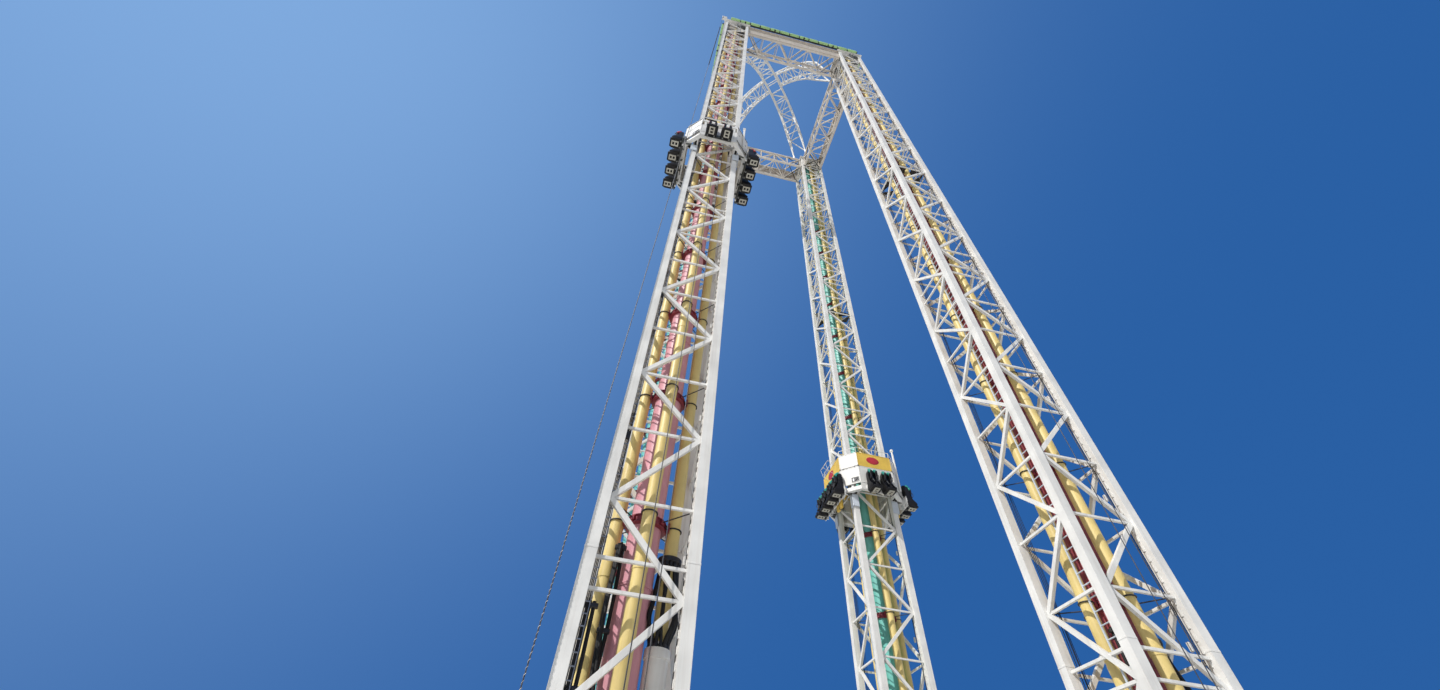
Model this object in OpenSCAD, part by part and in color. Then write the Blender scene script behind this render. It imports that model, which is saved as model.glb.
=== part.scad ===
// Drop tower ride: four lattice towers joined by a roof frame, one carriage on each tower.
// 1:10 scale model, millimetres. X right, Y back, Z up, ground at Z = 0, origin in the middle.

/* [Towers] */
// distance between the tower axes
spacing = 1215; // [1100:5:1400]
// outside width of a tower
tower_w = 240; // [220:1:260]
// side of a leg's square section
leg = 27; // [22:1:34]
// height of one lattice bay
bay = 189; // [170:1:200]
// number of bays in a tower (even)
bays = 32; // [24:2:34]
// height of the first lattice level
base_z = 48; // [40:1:70]
// width of a lattice diagonal
diag_w = 12; // [8:0.5:16]
// thickness of a lattice diagonal
diag_t = 10; // [8:0.5:14]
// height and thickness of a lattice rung
rung = 6.5; // [5:0.5:8]

/* [Base] */
// side of a leg's base plate
plate_w = 74; // [66:1:90]
// thickness of a base plate
plate_t = 10; // [6:1:16]
// distance between anchor holes
anchor_pitch = 52; // [46:1:60]
// radius of an anchor hole
anchor_r = 4; // [2:0.5:6]

/* [Inside the tower] */
// radius of the core tube
core_r = 38; // [30:1:42]
// radius of the yellow pipes
pipe_r = 16; // [12:1:18]
// distance of the pipes from the tower axis
pipe_off = 67; // [62:1:72]
// radius of the white cylinder under the right pipe
ram_r = 24; // [20:1:26]
// top of the white cylinder
ram_z = 560; // [500:1:800]
// thickness of a bracket plate
brace_t = 8; // [6:0.5:12]
// bays between bracket plates
brace_step = 2; // [2:2:4]
// radius of a cable
cable_r = 1.2; // [0.8:0.1:3]
// gap between the tower face and a cable's middle
cable_gap = 9; // [7:0.5:12]

/* [Roof] */
// width of a side truss
truss_w = 200; // [170:1:210]
// chord size of a side truss
truss_chord = 20; // [14:1:24]
// panels in a side truss (even)
truss_n = 6; // [4:2:8]
// thickness of a tower's top plate
crown_t = 12; // [8:1:16]
// height of the legs above the last level
crown_rise = 20; // [14:1:30]
// radius of a sheave hood
hood_r = 58; // [40:1:70]
// width of a sheave hood
hood_w = 84; // [60:1:100]
// section of a light strip
strip_w = 36; // [24:1:44]
// thickness of the boards on the side trusses' outer faces
fascia_t = 4; // [3:0.5:6]
// distance of the corner cable from the panels' corner line
corner_gap = 8.5; // [8:0.5:10]
// rise of the crossing arches over the last level
arch_rise = 1010; // [800:10:1200]
// roundness of the arches: 1 is a parabola, 0.5 an ellipse
arch_pow = 0.5; // [0.5:0.02:1]
// middle distance between an arch's two side frames
arch_w = 150; // [100:1:170]
// depth of an arch
arch_d = 100; // [80:1:150]
// chord size of an arch
arch_chord = 15; // [9:1:18]
// bracing size of an arch
arch_lace = 9; // [6:0.5:11]

/* [Carriage] */
// side panels' distance outside the tower's faces
side_gap = 53; // [48:1:65]
// front panels' distance outside the tower's faces
front_gap = 72; // [68:1:85]
// x plus y on a corner panel's outside, past the same sum at a tower's corner
corner_out = 50; // [44:1:60]
// panel thickness
panel_t = 4; // [3:0.5:6]
// corner panels' bottom above the seat bottom
skirt_z = 60; // [54:1:80]
// upper panels' bottom above the seat bottom
panel_z = 150; // [146:1:170]
// upper panels' height
panel_h = 95; // [80:1:110]
// ring beam's radial size
beam_r = 20; // [14:1:22]
// ring beam's height
beam_h = 20; // [14:1:24]
// lowest ring beam above the seat bottom
beam_z = 26; // [20:1:40]
// seat pitch along a row
seat_pitch = 78; // [74:1:84]
// seat width
seat_w = 62; // [52:1:68]
// seat height
seat_h = 132; // [120:1:140]
// seat pan's reach from the seat rail
seat_d = 62; // [50:1:70]
// seat rail thickness
rail_t = 8; // [6:0.5:12]
// guide wheel radius
wheel_r = 11; // [9:0.5:12]
// guide wheel width
wheel_w = 10; // [8:1:11]
// running gap between a guide wheel and a leg
wheel_gap = 0.4; // [0.3:0.1:1]
// seat bottom height of a carriage at the loading place
low_z = 60; // [50:1:90]
// seat bottom height of the front left carriage
front_left_z = 2751; // [60:1:5600]
// seat bottom height of the back right carriage
back_right_z = 1692; // [60:1:5600]

/* [Hidden] */
half = spacing / 2;
leg_c = (tower_w - leg) / 2;
gap_w = tower_w - 2 * leg;
top_z = base_z + bays * bay;
leg_top = top_z + crown_rise;
crown_top = leg_top + crown_t;
crown_half = tower_w / 2 + cable_gap + 6;
truss_len = spacing - tower_w;
truss_panel = (truss_len - 2 * diag_w) / truss_n;
truss_cc = truss_w - truss_chord;
arch_foot = top_z + truss_chord / 2;
arch_span = (half - truss_cc / 2) * sqrt(2) - arch_w / 2;
arch_s = [0, 0.2, 0.39, 0.58, 0.77, 0.91, 1];
arch_n = len(arch_s) - 1;
beam_top = panel_z + panel_h - beam_h;
beam_levels = [beam_z, panel_z, beam_top];
car_top = panel_z + panel_h;
seam_z = panel_z + beam_h / 2;
car_side = tower_w / 2 + side_gap;
car_front = tower_w / 2 + front_gap;
car_corner = tower_w + corner_out;
corner_x = -(car_corner + corner_gap * sqrt(2)) / 2 - 7;
corner_y = corner_x + 14;
post_w = 12;
wheel_levels = [beam_z + beam_h / 2, beam_top + beam_h / 2];
fork_t = 6;
fork_y = leg_c - wheel_w / 2;
white = [0.93, 0.92, 0.9];
yellow = [0.86, 0.72, 0.38];

module at_tower(sx, sy) translate([sx * half, sy * half, 0]) children();
module each_tower() for (sx = [-1, 1]) for (sy = [-1, 1]) at_tower(sx, sy) children();
module block(x, y, z) translate([x[0], y[0], z[0]]) cube([x[1] - x[0], y[1] - y[0], z[1] - z[0]]);

// A zigzag strip in the XZ plane, w wide and n bays of b high, thickness t about Y = 0.
// odd = 0 starts at the left edge, odd = 1 at the right edge.
module zigzag(w, b, n, d, t, odd) {
  m = b / w;
  h = d / 2 * sqrt(1 + m * m);
  left = [for (k = [0:n]) each
    k % 2 == 1 ? [[w - h / m, k * b]] :
    concat(k > 0 ? [[0, k * b - h]] : [], k < n ? [[0, k * b + h]] : [])];
  right = [for (k = [n:-1:0]) each
    k % 2 == 1 ? [[w, k * b + h], [w, k * b - h]] :
    k == n ? [[0, k * b + h]] : k == 0 ? [[0, -h]] : [[h / m, k * b]]];
  pts = [for (p = concat(left, right)) odd == 1 ? [w - p[0], p[1]] : p];
  rotate([90, 0, 0]) translate([0, 0, -t / 2]) linear_extrude(t) polygon(pts);
}

// One side of a tower between two legs: zigzag, rungs and splice rungs, in the XZ plane.
module side_panel(odd) {
  union() {
    translate([0, 0, base_z]) zigzag(gap_w, bay, bays, diag_w, diag_t, odd);
    for (k = [0:bays])
      block([0, gap_w], [-rung / 2, rung / 2], [base_z + k * bay - rung / 2, base_z + k * bay + rung / 2]);
    for (k = [3:8:bays])
      block([0, gap_w], [-rung / 2, rung / 2], [base_z + (k + 0.3) * bay, base_z + (k + 0.3) * bay + rung]);
  }
}

module lattice(odd) {
  for (a = [0, 90, 180, 270])
    rotate([0, 0, a]) translate([-gap_w / 2, -leg_c, 0]) side_panel(odd);
}

module each_leg() each_tower() for (x = [-1, 1]) for (y = [-1, 1]) translate([x * leg_c, y * leg_c, 0]) children();

module legs()
  color(white) each_leg() block([-leg / 2, leg / 2], [-leg / 2, leg / 2], [plate_t, leg_top]);

module base_plates()
  color(white) each_leg() difference() {
    block([-plate_w / 2, plate_w / 2], [-plate_w / 2, plate_w / 2], [0, plate_t]);
    for (x = [-1, 1]) for (y = [-1, 1])
      translate([x * anchor_pitch / 2, y * anchor_pitch / 2, -1]) cylinder(r = anchor_r, h = plate_t + 2, $fn = 32);
  }

module core() cylinder(r = core_r, h = leg_top, $fn = 64);

module tower_pipes() {
  for (a = [90, 180, 270]) rotate([0, 0, a]) translate([pipe_off, 0, 0]) cylinder(r = pipe_r, h = leg_top, $fn = 48);
  translate([pipe_off, 0, ram_z]) cylinder(r = pipe_r, h = leg_top - ram_z, $fn = 48);
}

// A bracket plate: a cross with a hub, bored for the core and the pipes, reaching the rungs.
module brace() {
  reach = leg_c - rung / 2;
  arm = pipe_r + 7;
  difference() {
    union() {
      cylinder(r = core_r + 9, h = brace_t, center = true, $fn = 64);
      block([-reach, reach], [-arm, arm], [-brace_t / 2, brace_t / 2]);
      block([-arm, arm], [-reach, reach], [-brace_t / 2, brace_t / 2]);
    }
    cylinder(r = core_r, h = brace_t + 2, center = true, $fn = 64);
    for (a = [0, 90, 180, 270]) rotate([0, 0, a]) translate([pipe_off, 0, 0])
      cylinder(r = pipe_r, h = brace_t + 2, center = true, $fn = 48);
  }
}

module braces()
  color([0.4, 0.14, 0.16]) each_tower() for (k = [4:brace_step:bays - 2])
    translate([0, 0, base_z + k * bay]) brace();

module crown() {
  block([-crown_half, crown_half], [-crown_half, crown_half], [leg_top, crown_top]);
  translate([0, 0, crown_top]) intersection() {
    rotate([90, 0, 0]) cylinder(r = hood_r, h = hood_w, center = true, $fn = 64);
    block([-hood_r - 1, hood_r + 1], [-hood_w, hood_w], [0, hood_r + 1]);
  }
}

// The front left tower's top plate has an arm that carries the corner cable.
module crowns()
  color(white) for (sx = [-1, 1]) for (sy = [-1, 1]) at_tower(sx, sy) union() {
    crown();
    if (sx + sy == -2) block([corner_x - 8, -crown_half + 20], [corner_y - 8, -crown_half + 20], [leg_top, crown_top]);
  }

// Two hoist cables run before each tower's outer face, and one off the front left tower's outer corner.
module cables()
  color([0.16, 0.16, 0.17]) {
    for (sx = [-1, 1]) for (sy = [-1, 1]) for (x = [6, 40]) at_tower(sx, sy)
      translate([x, sy * (tower_w / 2 + cable_gap), 0]) cylinder(r = cable_r, h = leg_top, $fn = 24);
    at_tower(-1, -1) translate([corner_x, corner_y, 0]) cylinder(r = cable_r, h = leg_top, $fn = 24);
  }

// Boards that close the side trusses' outer faces.
module fascias()
  color(white) for (a = [0, 90, 180, 270]) rotate([0, 0, a])
    block([-truss_len / 2 + 2, truss_len / 2 - 2], [-half - truss_w / 2 - fascia_t, -half - truss_w / 2],
          [top_z - bay - truss_chord / 2, top_z + truss_chord / 2]);

module lights() {
  len = half + crown_half - 56;
  out = half + crown_half;
  color([0.68, 0.85, 0.55]) for (a = [0, 90, 180, 270])
    rotate([0, 0, a]) block([-len, len], [-out - strip_w * 0.6, -out + strip_w * 0.4], [crown_top, crown_top + strip_w]);
}

// A side truss along X, its middle at Y = 0, between two towers.
module truss() {
  c = truss_chord;
  z1 = top_z - bay;
  color(white) translate([-truss_len / 2, 0, 0]) union() {
    for (y = [-1, 1]) for (z = [z1, top_z])
      block([0, truss_len], [y * truss_cc / 2 - c / 2, y * truss_cc / 2 + c / 2], [z - c / 2, z + c / 2]);
    for (y = [-1, 1]) {
      translate([diag_w, y * truss_cc / 2, top_z]) rotate([0, 90, 0]) zigzag(bay, truss_panel, truss_n, diag_w, diag_t, 0);
      for (k = [0:truss_n]) {
        x = diag_w + k * truss_panel;
        block([x - rung, x + rung], [y * truss_cc / 2 - rung / 2, y * truss_cc / 2 + rung / 2], [z1, top_z]);
      }
    }
    for (z = [z1, top_z]) {
      translate([diag_w, -truss_cc / 2, z]) rotate([90, 0, 0]) rotate([0, 90, 0]) zigzag(truss_cc, truss_panel, truss_n, diag_w, diag_t, 0);
      for (k = [0:truss_n]) {
        x = diag_w + k * truss_panel;
        block([x - rung / 2, x + rung / 2], [-truss_cc / 2, truss_cc / 2], [z - rung / 2, z + rung / 2]);
      }
    }
  }
}

// A straight square bar between two points.
module bar(a, b, w) {
  v = b - a;
  translate(a) rotate([0, acos(v[2] / norm(v)), atan2(v[1], v[0])])
    translate([-w / 2, -w / 2, -w / 3]) cube([w, w, norm(v) + w * 2 / 3]);
}

// Arch profile in the upright plane of the arch: outer and inner chord nodes, station i.
function arch_z(t) = arch_foot + arch_rise * pow(1 - t * t, arch_pow);
function arch_dir(t) = let (v = [0.04 * arch_span, arch_z(min(t + 0.02, 1)) - arch_z(max(t - 0.02, 0))])
  t == 0 ? [1, 0] : v / norm(v);
function outer(i) = [arch_s[i] * arch_span, arch_z(arch_s[i])];
function inner(i) = let (d = arch_dir(arch_s[i])) outer(i) + arch_d * [d[1], -d[0]];
function at_x(p, q, x) = p + (q - p) * (x - p[0]) / (q[0] - p[0]);
function outer_line(x) = [at_x(outer(0), outer(1), x), for (i = [1:arch_n]) outer(i)];
function inner_line(x) = [at_x(inner(0), inner(1), x), for (i = [1:arch_n - 1]) inner(i),
                          outer(arch_n) * 0.85 + outer(arch_n - 1) * 0.15];
function way(a, b) = (b - a) / norm(b - a);
function left_of(v) = [-v[1], v[0]];
function on_plane(p, y) = [p[0], y, p[1]];

// A chord of width c along a line of points, mitred, cut upright at its start
// and, if level is true, cut level at its end.
module chord(line, c, level) {
  n = len(line) - 1;
  off = [for (k = [0:n])
    k == 0 ? [0, c / 2 / way(line[0], line[1])[0]] :
    k == n ? (level ? [-c / 2 / way(line[n - 1], line[n])[1], 0] : left_of(way(line[n - 1], line[n])) * c / 2) :
    let (b = way(line[k - 1], line[k]) + way(line[k], line[k + 1])) left_of(b) * c / (b * b)];
  rotate([90, 0, 0]) translate([0, 0, -c / 2]) linear_extrude(c)
    polygon(concat([for (k = [0:n]) line[k] + off[k]], [for (k = [n:-1:0]) line[k] - off[k]]));
}

// Half of an arch from distance x to its foot, which stands on the side trusses.
module half_arch(x) {
  w = arch_w / 2;
  n = arch_n;
  top = outer_line(x);
  low = inner_line(x);
  thin = arch_lace - 1;
  for (y = [-w, w]) {
    translate([0, y, 0]) chord(top, arch_chord, true);
    translate([0, y, 0]) chord(low, arch_chord, false);
    for (i = [1:n - 1]) bar(on_plane(top[i], y), on_plane(low[i], y), arch_lace);
    for (i = [0:n - 2])
      if (i % 2 == 0) bar(on_plane(top[i + 1], y), on_plane(low[i] + [arch_lace, 0], y), thin);
      else bar(on_plane(top[i], y), on_plane(low[i + 1], y), thin);
  }
  for (i = [1:n - 1]) {
    bar(on_plane(top[i], -w), on_plane(top[i], w), arch_lace);
    bar(on_plane(low[i], -w), on_plane(low[i], w), arch_lace);
    y = i % 2 == 0 ? w : -w;
    bar(on_plane(top[i], -y), on_plane(i == n - 1 ? top[n] * 0.9 + top[i] * 0.1 : top[i + 1], y), thin);
    if (i < n - 1) bar(on_plane(low[i], -y), on_plane(low[i + 1], y), thin);
  }
}

module arch_a() {
  mid = outer(0);
  color(white) rotate([0, 0, 45]) union() {
    half_arch(0);
    rotate([0, 0, 180]) half_arch(0);
    for (y = [-1, 1]) bar(on_plane(mid, y * arch_w / 2), on_plane(inner(0), y * arch_w / 2), arch_lace);
    for (p = [mid, inner(0)]) bar(on_plane(p, -arch_w / 2), on_plane(p, arch_w / 2), arch_lace);
  }
}

module arch_b()
  color(white) for (a = [135, 315]) rotate([0, 0, a]) union() half_arch((arch_w + arch_chord) / 2);

// Corner points of the carriage's eight-sided plan, t inside the panels' outer faces.
function oct(t) = let (x = car_side - t, y = car_front - t, c = car_corner - t * sqrt(2))
  [[x, c - x], [c - y, y], [y - c, y], [-x, c - x], [-x, x - c], [y - c, -y], [c - y, -y], [x, x - c]];

// Side i of the plan between offsets t1 and t2, its ends pulled in by e.
module oct_side(i, t1, t2, e, z, h) {
  a = oct(t1)[i]; b = oct(t1)[(i + 1) % 8];
  c = oct(t2)[(i + 1) % 8]; d = oct(t2)[i];
  u = (b - a) / norm(b - a);
  translate([0, 0, z]) linear_extrude(h) polygon([a + u * e, b - u * e, c - u * e, d + u * e]);
}

// The three beams of side i with upright posts at distances q from its first corner.
module frame_side(i, q) {
  a = oct(panel_t)[i];
  b = oct(panel_t)[(i + 1) % 8];
  u = (b - a) / norm(b - a);
  n = [u[1], -u[0]];
  for (z = beam_levels) oct_side(i, panel_t, panel_t + beam_r, 0, z, beam_h);
  for (x = q) {
    p = a + u * x - n * 3;
    translate([0, 0, beam_z]) linear_extrude(car_top - beam_z)
      polygon([p, p + u * post_w, p + (u - n) * post_w, p - n * post_w]);
  }
}

module car_sides() {
  long = 2 * (car_corner - car_side) - panel_t;
  short = 2 * (car_corner - car_front);
  color(white) {
    for (m = [0, 1]) mirror([m, 0, 0]) union() {
      frame_side(7, [post_w, long - 2 * post_w]);
      for (z = wheel_levels) for (n = [0, 1]) mirror([0, n, 0])
        block([tower_w / 2 + 6, car_side - panel_t - beam_r], [fork_y - fork_t, fork_y], [z - 7, z + 7]);
    }
    for (i = [1, 5]) frame_side(i, [post_w, short - 2 * post_w]);
  }
}

module car_corners()
  color(white) for (m = [0, 1]) mirror([m, 0, 0]) for (n = [0, 1]) mirror([0, n, 0]) union() {
    frame_side(0, [(car_side + car_front - car_corner) / sqrt(2) - post_w / 2]);
    for (z = wheel_levels)
      block([fork_y - fork_t, fork_y], [tower_w / 2 + 6, car_front - panel_t - beam_r], [z - 7, z + 7]);
  }

// One side's seats on a rail, the rail's back at X = 0.
module seat_row(n) {
  l = (n - 1) * seat_pitch + seat_w;
  block([0, rail_t], [-l / 2, l / 2], [beam_z, beam_z + beam_h]);
  for (k = [0:n - 1]) translate([rail_t, k * seat_pitch - l / 2 + seat_w, 0]) rotate([90, 0, 0])
    linear_extrude(seat_w) polygon([[0, 0], [seat_d, 0], [seat_d, 15], [24, 21], [14, seat_h], [0, seat_h]]);
}

module car_seats()
  color([0.12, 0.12, 0.13]) {
    for (a = [0, 180]) rotate([0, 0, a]) translate([car_side - panel_t, 0, 0]) union() seat_row(4);
    for (a = [90, 270]) rotate([0, 0, a]) translate([car_front - panel_t, 0, 0]) union() seat_row(2);
  }

// The panels: tall ones on the corners, and on each side a low one with an upper one over it,
// but on side open_side the upper place is open.
module car_panels(open_side = -1) {
  for (i = [0:7]) {
    top = i % 2 == 0 ? car_top : i == open_side ? panel_z + beam_h : seam_z;
    color(white) oct_side(i, 0, panel_t, 1.2, skirt_z, top - skirt_z);
    if (top == seam_z) color(yellow) oct_side(i, 0, panel_t, 1.2, seam_z + 1, car_top - seam_z - 1);
  }
}

module car_wheels()
  color([0.2, 0.2, 0.21]) for (z = wheel_levels) for (x = [-1, 1]) for (y = [-1, 1]) {
    far = tower_w / 2 + wheel_gap + wheel_r;
    translate([x * far, y * leg_c, z]) rotate([90, 0, 0]) cylinder(r = wheel_r, h = wheel_w, center = true, $fn = 40);
    translate([x * leg_c, y * far, z]) rotate([0, 90, 0]) cylinder(r = wheel_r, h = wheel_w, center = true, $fn = 40);
  }

module car_at(sx, sy, z) at_tower(sx, sy) translate([0, 0, z]) children();
module car_fl() car_at(-1, -1, front_left_z) children();
module car_fr() car_at(1, -1, low_z) children();
module car_br() car_at(1, 1, back_right_z) children();
module car_bl() car_at(-1, 1, low_z) children();

legs();
base_plates();
color(white) at_tower(-1, -1) lattice(0);  // lattice_fl
color(white) at_tower(1, -1) lattice(0);  // lattice_fr
color(white) at_tower(1, 1) lattice(1);  // lattice_br
color(white) at_tower(-1, 1) lattice(1);  // lattice_bl
color([0.66, 0.2, 0.22]) at_tower(-1, -1) core();  // core_fl
color([0.5, 0.13, 0.15]) at_tower(1, -1) core();  // core_fr
color([0.35, 0.68, 0.66]) at_tower(1, 1) core();  // core_br
color([0.3, 0.7, 0.7]) at_tower(-1, 1) core();  // core_bl
color(yellow) each_tower() tower_pipes();  // pipes
braces();
color(white) each_tower() translate([pipe_off, 0, 0]) cylinder(r = ram_r, h = ram_z, $fn = 56);  // rams
cables();
crowns();
lights();
translate([0, -half, 0]) truss();  // truss_front
translate([0, half, 0]) truss();  // truss_back
translate([-half, 0, 0]) rotate([0, 0, 90]) truss();  // truss_left
translate([half, 0, 0]) rotate([0, 0, 90]) truss();  // truss_right
fascias();
arch_a();
arch_b();
car_fl() car_sides();  // car_fl_sides
car_fl() car_corners();  // car_fl_corners
car_fl() car_seats();  // car_fl_seats
car_fl() car_panels(5);  // car_fl_panels
car_fl() car_wheels();  // car_fl_wheels
car_fr() car_sides();  // car_fr_sides
car_fr() car_corners();  // car_fr_corners
car_fr() car_seats();  // car_fr_seats
car_fr() car_panels();  // car_fr_panels
car_fr() car_wheels();  // car_fr_wheels
car_br() car_sides();  // car_br_sides
car_br() car_corners();  // car_br_corners
car_br() car_seats();  // car_br_seats
car_br() car_panels();  // car_br_panels
car_br() car_wheels();  // car_br_wheels
car_bl() car_sides();  // car_bl_sides
car_bl() car_corners();  // car_bl_corners
car_bl() car_seats();  // car_bl_seats
car_bl() car_panels();  // car_bl_panels
car_bl() car_wheels();  // car_bl_wheels
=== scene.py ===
"""Looks of the drop tower ride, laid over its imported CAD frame. Metres, at the model's 1:10 scale."""
import math

import bmesh
import bpy
from mathutils import Matrix, Vector


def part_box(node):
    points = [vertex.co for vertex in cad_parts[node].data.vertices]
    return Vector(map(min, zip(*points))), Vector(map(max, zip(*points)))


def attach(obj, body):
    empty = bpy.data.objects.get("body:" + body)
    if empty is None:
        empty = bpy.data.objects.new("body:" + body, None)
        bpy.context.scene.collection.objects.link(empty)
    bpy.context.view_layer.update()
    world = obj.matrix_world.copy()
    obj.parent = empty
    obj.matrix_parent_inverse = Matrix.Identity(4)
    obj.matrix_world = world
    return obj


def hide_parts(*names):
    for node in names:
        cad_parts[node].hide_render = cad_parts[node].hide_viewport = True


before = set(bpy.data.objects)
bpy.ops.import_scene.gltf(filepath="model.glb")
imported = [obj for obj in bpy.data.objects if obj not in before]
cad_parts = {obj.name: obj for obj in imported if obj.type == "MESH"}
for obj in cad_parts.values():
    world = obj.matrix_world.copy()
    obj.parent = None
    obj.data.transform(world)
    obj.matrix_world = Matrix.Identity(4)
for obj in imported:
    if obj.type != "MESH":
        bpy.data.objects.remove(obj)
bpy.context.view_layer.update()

# Sizes that the looks share with the frame
BASE = 0.048
BAY = 0.189
BAYS = 32
TOWER = 0.240
LEG = 0.027
LEG_C = (TOWER - LEG) / 2
SPREAD = 0.6075  # from the middle to a tower's axis
PLATE_T = 0.010
CORE_R = 0.038
PIPE_R = 0.016
PIPE_OFF = 0.067
RAM_R = 0.024
CABLE_GAP = 0.009
CAR_SIDE = 0.173
CAR_FRONT = 0.192
CAR_CORNER = 0.290
PANEL_T = 0.004
SKIRT_Z = 0.060
SEAM_Z = 0.160
CAR_TOP = 0.245
RAIL_T = 0.008
SEAT_PITCH = 0.078
SEAT_W = 0.062
WHEEL_R = 0.011
WHEEL_W = 0.010
WHEEL_LEVELS = (0.036, 0.235)

BODIES = {
    "fl": "front_left_carriage",
    "fr": "front_right_carriage",
    "br": "back_right_carriage",
    "bl": "back_left_carriage",
}


def axis_of(tower):
    """Where a tower's axis stands, from its core."""
    low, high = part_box("core_" + tower)
    return (low + high) / 2


TOWERS = {t: axis_of(t) for t in BODIES}
SEATS_AT = {t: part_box("car_%s_seats" % t)[0].z for t in BODIES}
RAM_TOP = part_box("rams")[1].z
LEG_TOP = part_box("legs")[1].z
CROWN_TOP = LEG_TOP + 0.012


def level(k):
    """Height of a lattice level."""
    return BASE + BAY * k


def new_object(name, data):
    """An object in the scene."""
    obj = bpy.data.objects.new(name, data)
    bpy.context.scene.collection.objects.link(obj)
    return obj


# Camera: a wide view up from low at the front left
FOCAL_PX = 510.5
WIDTH_PX = 1440
SHIFT_PX = 45
PITCH, YAW, ROLL = math.radians(51.29), math.radians(8.50), math.radians(5.69)
CAMERA_AT = Vector((-0.6627, -1.7977, 0.2077))


def make_camera():
    forward = Vector((math.sin(YAW) * math.cos(PITCH), math.cos(YAW) * math.cos(PITCH), math.sin(PITCH)))
    level_right = Vector((math.cos(YAW), -math.sin(YAW), 0))
    level_up = level_right.cross(forward)
    right = level_right * math.cos(ROLL) + level_up * math.sin(ROLL)
    up = level_up * math.cos(ROLL) - level_right * math.sin(ROLL)
    data = bpy.data.cameras.new("camera")
    data.sensor_width = 36
    data.lens = FOCAL_PX / WIDTH_PX * data.sensor_width
    data.shift_y = -SHIFT_PX / WIDTH_PX
    data.clip_start = 0.02
    data.clip_end = 900
    camera = new_object("camera", data)
    turned = Matrix((right, up, -forward)).transposed().to_4x4()
    turned.translation = CAMERA_AT
    camera.matrix_world = turned
    bpy.context.scene.camera = camera


make_camera()


# Materials
ROUNDED = 0.0012


def add_node(nodes, kind, **settings):
    """Adds a shader node and sets its inputs, an underscore standing for a space."""
    node = nodes.new("ShaderNode" + kind)
    for key, value in settings.items():
        node.inputs[key.replace("_", " ")].default_value = value
    return node


def blend(nodes, link, factor, color):
    """Adds a node that mixes a colour into what is linked to its input A, by a factor."""
    mix = nodes.new("ShaderNodeMix")
    mix.data_type = "RGBA"
    link(factor, mix.inputs["Factor"])
    mix.inputs["B"].default_value = (*color, 1)
    return mix


def paint(name, base, dark=0.84, light=1.05, rough=0.42, grime=0.25, soil=(0.30, 0.25, 0.20),
          bump=0.12, metallic=0.0, scale=14.0, runs=True, specular=0.5):
    """A painted, cast or moulded surface: cloudy colour, dirt that runs down, uneven gloss, orange peel and
    rounded edges."""
    mat = bpy.data.materials.new(name)
    mat.use_nodes = True
    nodes = mat.node_tree.nodes
    link = mat.node_tree.links.new
    shader = nodes["Principled BSDF"]
    shader.inputs["Metallic"].default_value = metallic
    shader.inputs["Specular IOR Level"].default_value = specular
    spot = nodes.new("ShaderNodeTexCoord").outputs["Object"]
    cloud = add_node(nodes, "TexNoise", Scale=scale, Detail=5)
    link(spot, cloud.inputs["Vector"])
    ramp = add_node(nodes, "ValToRGB")
    for end, position, shade in zip(ramp.color_ramp.elements, (0.3, 0.7), (dark, light)):
        end.position = position
        end.color = (*[min(1, c * shade) for c in base], 1)
    link(cloud.outputs["Fac"], ramp.inputs["Fac"])
    stretch = add_node(nodes, "Mapping", Scale=(90, 90, 3.2) if runs else (30, 30, 30))
    link(spot, stretch.inputs["Vector"])
    dirt = add_node(nodes, "TexNoise", Scale=1.0, Detail=4)
    link(stretch.outputs["Vector"], dirt.inputs["Vector"])
    mask = add_node(nodes, "MapRange", From_Min=0.52, From_Max=0.8, To_Max=grime)
    link(dirt.outputs["Fac"], mask.inputs["Value"])
    mix = blend(nodes, link, mask.outputs["Result"], soil)
    link(ramp.outputs["Color"], mix.inputs["A"])
    link(mix.outputs["Result"], shader.inputs["Base Color"])
    gloss = add_node(nodes, "MapRange", To_Min=max(0.05, rough - 0.08), To_Max=min(1, rough + 0.14))
    link(cloud.outputs["Fac"], gloss.inputs["Value"])
    link(gloss.outputs["Result"], shader.inputs["Roughness"])
    peel = add_node(nodes, "TexNoise", Scale=700)
    link(spot, peel.inputs["Vector"])
    relief = add_node(nodes, "Bump", Strength=bump, Distance=0.0006)
    link(peel.outputs["Fac"], relief.inputs["Height"])
    rounded = add_node(nodes, "Bevel", Radius=ROUNDED)
    rounded.samples = 4
    link(rounded.outputs["Normal"], relief.inputs["Normal"])
    link(relief.outputs["Normal"], shader.inputs["Normal"])
    return mat


WHITE = paint("white_steel", (0.84, 0.835, 0.815), grime=0.32, soil=(0.42, 0.35, 0.28))
COOL_WHITE = paint("cool_white_steel", (0.62, 0.68, 0.76), grime=0.2, soil=(0.32, 0.33, 0.35))
# Painted shade: the trusses' white is tinted darker and warmer, the way their shaded undersides look.
SHADED_TRUSS_WHITE = paint("truss_white_painted_shade", (0.72, 0.67, 0.61), grime=0.35, soil=(0.38, 0.31, 0.25))
BEIGE = paint("beige_board", (0.60, 0.53, 0.46), grime=0.35, dark=0.86)
CORES = {t: paint("core_" + name, base, grime=0.22, soil=soil) for t, name, base, soil in (
    ("fl", "red", (0.72, 0.34, 0.40), (0.3, 0.10, 0.12)),
    ("fr", "dark_red", (0.36, 0.07, 0.09), (0.12, 0.03, 0.03)),
    ("br", "teal", (0.18, 0.58, 0.52), (0.04, 0.20, 0.19)),
    ("bl", "turquoise", (0.16, 0.55, 0.58), (0.04, 0.2, 0.22)))}
STRAW = paint("straw_pipe", (0.80, 0.63, 0.25), soil=(0.36, 0.25, 0.10))
MAROON = paint("maroon_bracket", (0.26, 0.03, 0.05), grime=0.2, soil=(0.07, 0.02, 0.02))
RUBBER = paint("black_rubber", (0.016, 0.016, 0.017), rough=0.55, grime=0.3, soil=(0.08, 0.075, 0.07),
               bump=0.3, specular=0.3)
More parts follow.
